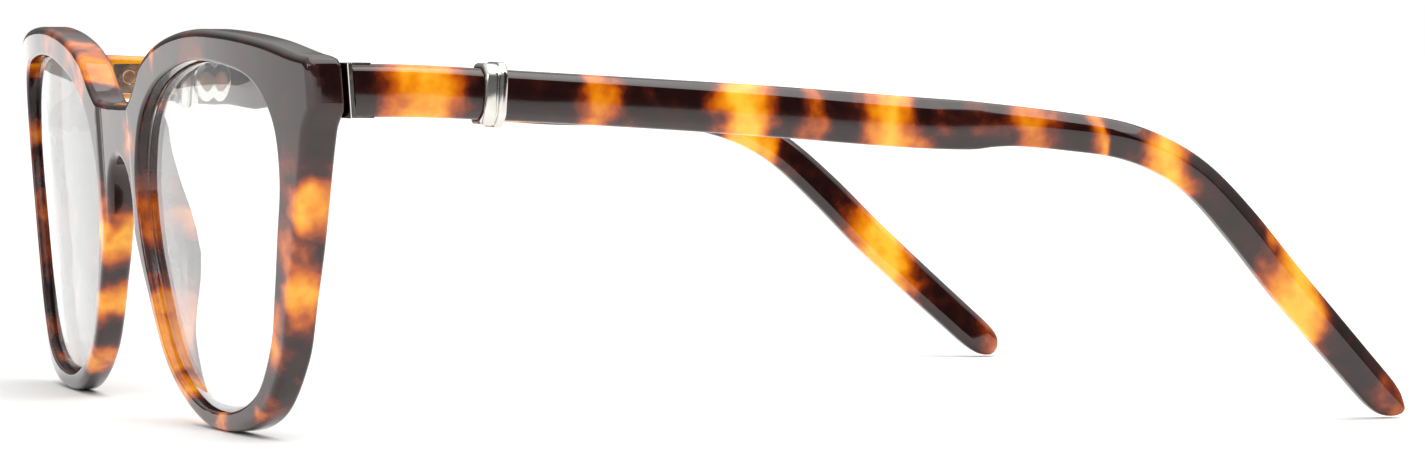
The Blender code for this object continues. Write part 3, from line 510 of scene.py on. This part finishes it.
def makeFront():
    work = bmesh.new()
    outline, loop = frontOutline(front["outlineStep"]), openingLoop()
    profile = edgeProfile(front["edgeRound"], front["edgeSteps"], front["edgeSupport"])
    made = loft(work, [[p + Vector((0, depth, 0)) for p in grown(outline, -inset)]
                       for inset, depth in profile])
    flatEdges = [made[0][:], made[-1][:]]
    profile = edgeProfile(front["openingRound"], front["openingSteps"],
                          front["openingSupport"])
    for side in sides.values():
        made = loft(work, [[Vector((p.x * side, depth, p.z)) for p in grown(loop, inset)]
                           for inset, depth in profile])
        flatEdges[0] += made[0]
        flatEdges[1] += made[-1]
    for edges in flatEdges:
        bmesh.ops.triangle_fill(work, use_beauty=True, use_dissolve=False, edges=edges,
                                normal=(0, 1, 0))
    strips = front["strips"]
    uprights = [i * front["stripWidth"] for i in range(-strips, strips + 1)]
    uprights += [side * (front["saddleHalf"] + step) for side in (1, -1)
                 for step in front["saddleCuts"]]
    cuts = [((x, 0, 0), (1, 0, 0)) for x in uprights]
    cuts += [((0, 0, z), (0, 0, 1))
             for z in range(front["rowStart"], front["rowEnd"], front["rowStep"])]
    for place, normal in cuts:
        bmesh.ops.bisect_plane(work, geom=work.verts[:] + work.edges[:] + work.faces[:],
                               plane_co=place, plane_no=normal, dist=1e-4)
    for vert in work.verts:
        vert.co = seated(*vert.co)
    piece = finished("acetate_front", work, frontAcetate, None)
    padPiece = makePads()
    combined(padPiece, makeLensSpaces(), "DIFFERENCE")
    combined(piece, padPiece, "UNION")
    mesh = piece.data
    mesh.shade_smooth()
    mesh.set_sharp_from_angle(angle=math.radians(front["sharpAngle"]))
    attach(piece, "front")
    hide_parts("front_frame")
    return piece


makeFront()
print("front ready")


def makeLens(name, side):
    loop, shares = openingLoop(), lensSizes["rings"]
    body, middle = grown(loop, -lensSizes["slack"]), Vector((lensX, 0, lensZ))

    def ringAt(share, depth):
        depth -= lensSizes["bulge"] * (1 - share * share)
        return [seated(middle.x + (p.x - middle.x) * share, depth,
                       middle.z + (p.z - middle.z) * share) for p in body]

    rings = [ringAt(share, lensPlane - lensSizes["half"]) for share in shares]
    rings.append([seated(p.x, lensPlane, p.z) for p in grown(loop, lensSizes["bevel"])])
    rings += [ringAt(share, lensPlane + lensSizes["half"]) for share in shares[::-1]]
    work = bmesh.new()
    loft(work, rings, True)
    return finished(f"{name}_clear_lens", work, lensGlass, "front", [f"{name}_lens"],
                    side)


# Temples

def stationAt(share):
    i = max(0, min(len(stations) - 2, sum(row[0] <= share for row in stations) - 1))
    step = stations[i + 1][0] - stations[i][0]
    t = (share - stations[i][0]) / step

    def slope(k, column):
        before, after = stations[max(k - 1, 0)], stations[min(k + 1, len(stations) - 1)]
        return (after[column] - before[column]) / (after[0] - before[0])

    values = []
    for column in range(1, 6):
        start, end = stations[i][column], stations[i + 1][column]
        leaving, arriving = slope(i, column) * step, slope(i + 1, column) * step
        values.append((2 * t**3 - 3 * t**2 + 1) * start + (t**3 - 2 * t**2 + t) * leaving
                      + (3 * t**2 - 2 * t**3) * end + (t**3 - t**2) * arriving)
    return values


def templeMiddle(share):
    drop, _, thickness, _, _ = stationAt(share)
    splayed = max(0.0, share * (tipY - templeStart) - temple["splayStart"])
    curled = max(0.0, share - temple["toeStart"]) / (1 - temple["toeStart"])
    outer = endX + temple["splay"] * splayed - temple["toeIn"] * curled ** 1.4
    return Vector((outer - thickness * temple["thickness"] / 2,
                   templeStart + share * (tipY - templeStart), hingeLevel * (1 - drop)))


def templeUp(share):
    along = (templeMiddle(min(share + 0.004, stations[-1][0]))
             - templeMiddle(max(share - 0.004, 0.0)))
    return Vector((0, -along.z, along.y)).normalized()


def section(share, wider=0.0):
    _, height, thickness, upper, lower = stationAt(share)
    half = thickness * temple["thickness"] / 2 + wider
    tall = height / 2 + wider
    fall = temple["bevelSet"] * thickness
    soft = min(0.55 + 0.5 * share, half * 0.5, tall * 0.45)
    shape = [(half, -tall + lower * 2 * tall), (half, tall - upper * 2 * tall),
             (half - fall, tall), (soft - half, tall), (-half, tall - soft),
             (-half, soft - tall), (soft - half, -tall), (half - fall, -tall)]
    rounding = min(temple["cornerRound"], tall * 0.3)
    points = []
    for i, corner in enumerate(shape):
        here = Vector((*corner, 0))
        before = Vector((*shape[i - 1], 0)) - here
        after = Vector((*shape[(i + 1) % len(shape)], 0)) - here
        start = here + before * min(0.42, rounding / max(before.length, 1e-6))
        end = here + after * min(0.42, rounding / max(after.length, 1e-6))
        for step in range(5):
            t = step / 4
            points.append(start * (1 - t) ** 2 + here * 2 * t * (1 - t) + end * t * t)
    middle, up = templeMiddle(share), templeUp(share)
    return [middle + Vector((p.x, 0, 0)) + up * p.y for p in points]


def mitred(points):
    for p in points:
        lag = front["lean"] * (hingeLevel - p.z) + endSlope * (p.x - endX)
        p.y += lag * max(0.0, 1 - max(0.0, p.y - templeStart) / temple["mitreFade"])
    return points


def makeTemple(name, side):
    tip, long, short = temple["tipStart"], temple["longSteps"], temple["tipSteps"]
    shares = [i / long * tip for i in range(long + 1)]
    shares += [tip + i / short * (stations[-1][0] - tip) for i in range(1, short + 1)]
    work = bmesh.new()
    loft(work, [mitred(section(share)) for share in shares], True)
    return finished(f"{name}_acetate_temple", work, templeAcetate[name], f"{name}_temple_arm",
                    [f"{name}_temple"], side, 45)


def makeRing(name, side):
    span = tipY - templeStart
    start = (capFace + ringSizes["start"] - templeStart) / span
    width, wall = ringSizes["width"] / span, ringSizes["wall"]
    profile = [(0.0, temple["fit"])] + [(share, wall * part) for share, part in ringProfile]
    profile.append((1.0, temple["fit"]))
    work = bmesh.new()
    made = loft(work, [section(start + share * width, wider) for share, wider in profile])
    bmesh.ops.bridge_loops(work, edges=made[0] + made[-1])
    end = start + width
    middle = templeMiddle(end)
    face = middle.x - temple["thickness"] * stationAt(end)[2] / 2 - temple["fit"]
    y = (capFace + ringSizes["start"] + ringSizes["width"]
         + ringSizes["discWidth"] * ringSizes["discSet"])
    count, rings = ringSizes["discPoints"], []
    turns = [2 * math.pi * i / count for i in range(count)]
    steps = [(ringSizes["discRoot"], 1.0)] + [(wall * part, size) for part, size in discProfile]
    for inwards, size in steps:
        wide, tall = ringSizes["discWidth"] / 2 * size, ringSizes["discHeight"] / 2 * size
        rings.append([Vector((face - inwards, y + wide * math.cos(turn),
                              middle.z + tall * math.sin(turn))) for turn in turns])
    loft(work, rings, True)
    return finished(f"{name}_metal_ring", work, palladium, f"{name}_temple_arm",
                    [f"{name}_ring"], side, 35)


for sideName, sideSign in sides.items():
    makeLens(sideName, sideSign)
    makeTemple(sideName, sideSign)
    makeRing(sideName, sideSign)
print("lenses, temples and rings ready")

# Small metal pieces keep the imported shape, with softened edges.
smallPieces = {"front_hinge": hingeSteel, "hinge_screw": hingeSteel, "temple_hinge": hingeSteel,
               "core_wire": hingeSteel, "temple_end_cap": palladium, "inner_plate": palladium,
               "temple_pin": palladium}
softEdge = {"weld": 0.000005, "width": 0.00007, "segments": 2, "angle": 35}
for sideName in sides:
    for pieceName, surface in smallPieces.items():
        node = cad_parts[f"{sideName}_{pieceName}"]
        node.data.materials.clear()
        node.data.materials.append(surface)
        weld = node.modifiers.new("weld", "WELD")
        weld.merge_threshold = softEdge["weld"]
        bevel = node.modifiers.new("soft_edges", "BEVEL")
        bevel.width, bevel.segments = softEdge["width"], softEdge["segments"]
        bevel.limit_method, bevel.angle_limit = "ANGLE", math.radians(softEdge["angle"])
print("metal pieces ready")

# Studio: a pale floor that runs out of sight, soft light from all round
studio = {
    "floor": "#f8f7f6", "floorHalf": 6.0, "floorHeight": -0.0001,
    "sky": 1.15, "sideLevel": 0.16, "dimBelow": 0.10, "brightAbove": 0.75,
    "sun": 2.0, "sunSpread": 70, "sunTurn": (-12, 14, 0),
    "boxPower": 3.2, "boxPlace": (0.55, -0.9, 0.35), "boxTarget": (0, -0.02, 0.02),
    "boxSize": (0.7, 0.4), "cardPlace": (0.86, 0.42, 0.30), "cardSize": (1.7, 0.62),
}


def addPlane(name, work, surface):
    mesh = bpy.data.meshes.new(name)
    work.to_mesh(mesh)
    work.free()
    mesh.materials.append(surface)
    return addObject(name, mesh)


floorMaterial, _ = newMaterial("matte_studio_floor", Base_Color=linear(studio["floor"]),
                               Roughness=0.7)
floorWork = bmesh.new()
bmesh.ops.create_grid(floorWork, x_segments=4, y_segments=4, size=studio["floorHalf"])
floor = addPlane("studio_floor", floorWork, floorMaterial)
floor.location.z = studio["floorHeight"]

world = bpy.data.worlds.new("white_studio")
bpy.context.scene.world = world
world.use_nodes = True
sky = world.node_tree
# the room is pale overhead and dim at the sides; the backdrop itself is white
skyPlace = addNode(sky, "ShaderNodeTexCoord")
skyParts = addNode(sky, "ShaderNodeSeparateXYZ", {0: skyPlace.outputs["Generated"]})
overhead = addNode(sky, "ShaderNodeMapRange", {"Value": skyParts.outputs["Z"]},
                   {"From Min": studio["dimBelow"], "From Max": studio["brightAbove"],
                    "To Min": studio["sideLevel"], "To Max": studio["sky"]},
                   interpolation_type="SMOOTHSTEP")
rays = addNode(sky, "ShaderNodeLightPath")
seen = addNode(sky, "ShaderNodeMath", {0: rays.outputs["Is Camera Ray"],
                                       1: rays.outputs["Is Transmission Ray"]},
               operation="MAXIMUM")
strength = addNode(sky, "ShaderNodeMath", {0: overhead.outputs[0], 1: seen.outputs[0]},
                   operation="MAXIMUM")
background = sky.nodes["Background"]
background.inputs["Color"].default_value = (1, 1, 1, 1)
sky.links.new(strength.outputs[0], background.inputs["Strength"])

sunData = bpy.data.lights.new("overhead_diffuser", "SUN")
sunData.energy, sunData.angle = studio["sun"], math.radians(studio["sunSpread"])
sunLight = addObject("overhead_diffuser", sunData)
sunLight.rotation_euler = [math.radians(turn) for turn in studio["sunTurn"]]

# a dark card beside the camera keeps the sides of the acetate deep
cardMaterial, _ = newMaterial("black_card", Base_Color=linear("#0a0a0a"), Roughness=0.9)
cardWork = bmesh.new()
bmesh.ops.create_grid(cardWork, x_segments=1, y_segments=1, size=0.5)
facing = Vector((-studio["cardPlace"][0], -studio["cardPlace"][1], 0)).to_track_quat("Z", "Y")
bmesh.ops.scale(cardWork, vec=(studio["cardSize"][1], studio["cardSize"][0], 1),
                verts=cardWork.verts)
bmesh.ops.transform(cardWork, matrix=Matrix.Translation(studio["cardPlace"])
                    @ facing.to_matrix().to_4x4(), verts=cardWork.verts)
card = addPlane("black_card", cardWork, cardMaterial)
card.visible_camera = card.visible_transmission = card.visible_shadow = False

boxData = bpy.data.lights.new("front_softbox", "AREA")
boxData.shape, boxData.energy = "RECTANGLE", studio["boxPower"]
boxData.size, boxData.size_y = studio["boxSize"]
softbox = addObject("front_softbox", boxData)
softbox.location = studio["boxPlace"]
aim = Vector(studio["boxTarget"]) - Vector(studio["boxPlace"])
softbox.rotation_euler = aim.to_track_quat("-Z", "Y").to_euler()
bpy.context.scene.view_settings.view_transform = "Standard"

# Camera
view = {"place": (0.58906, -0.1556375, 0.04715), "yaw": 68.36, "pitch": 2.33,
        "roll": 0.32, "lens": 127.25, "sensor": 36.0, "shiftX": 0.00065, "near": 0.01}
yaw, pitch, roll = (math.radians(view[k]) for k in ("yaw", "pitch", "roll"))
ahead = Vector((-math.sin(yaw) * math.cos(pitch), math.cos(yaw) * math.cos(pitch),
                -math.sin(pitch)))
right = Vector((math.cos(yaw), math.sin(yaw), 0))
up = right.cross(ahead)
right, up = (right * math.cos(roll) + up * math.sin(roll),
             up * math.cos(roll) - right * math.sin(roll))
camera = addObject("camera", bpy.data.cameras.new("camera"))
camera.data.lens, camera.data.sensor_width = view["lens"], view["sensor"]
camera.data.shift_x, camera.data.clip_start = view["shiftX"], view["near"]
camera.matrix_world = Matrix.Translation(Vector(view["place"]) + shift * mm) @ Matrix(
    (right, up, -ahead)).transposed().to_4x4()
bpy.context.scene.camera = camera
print("studio ready")
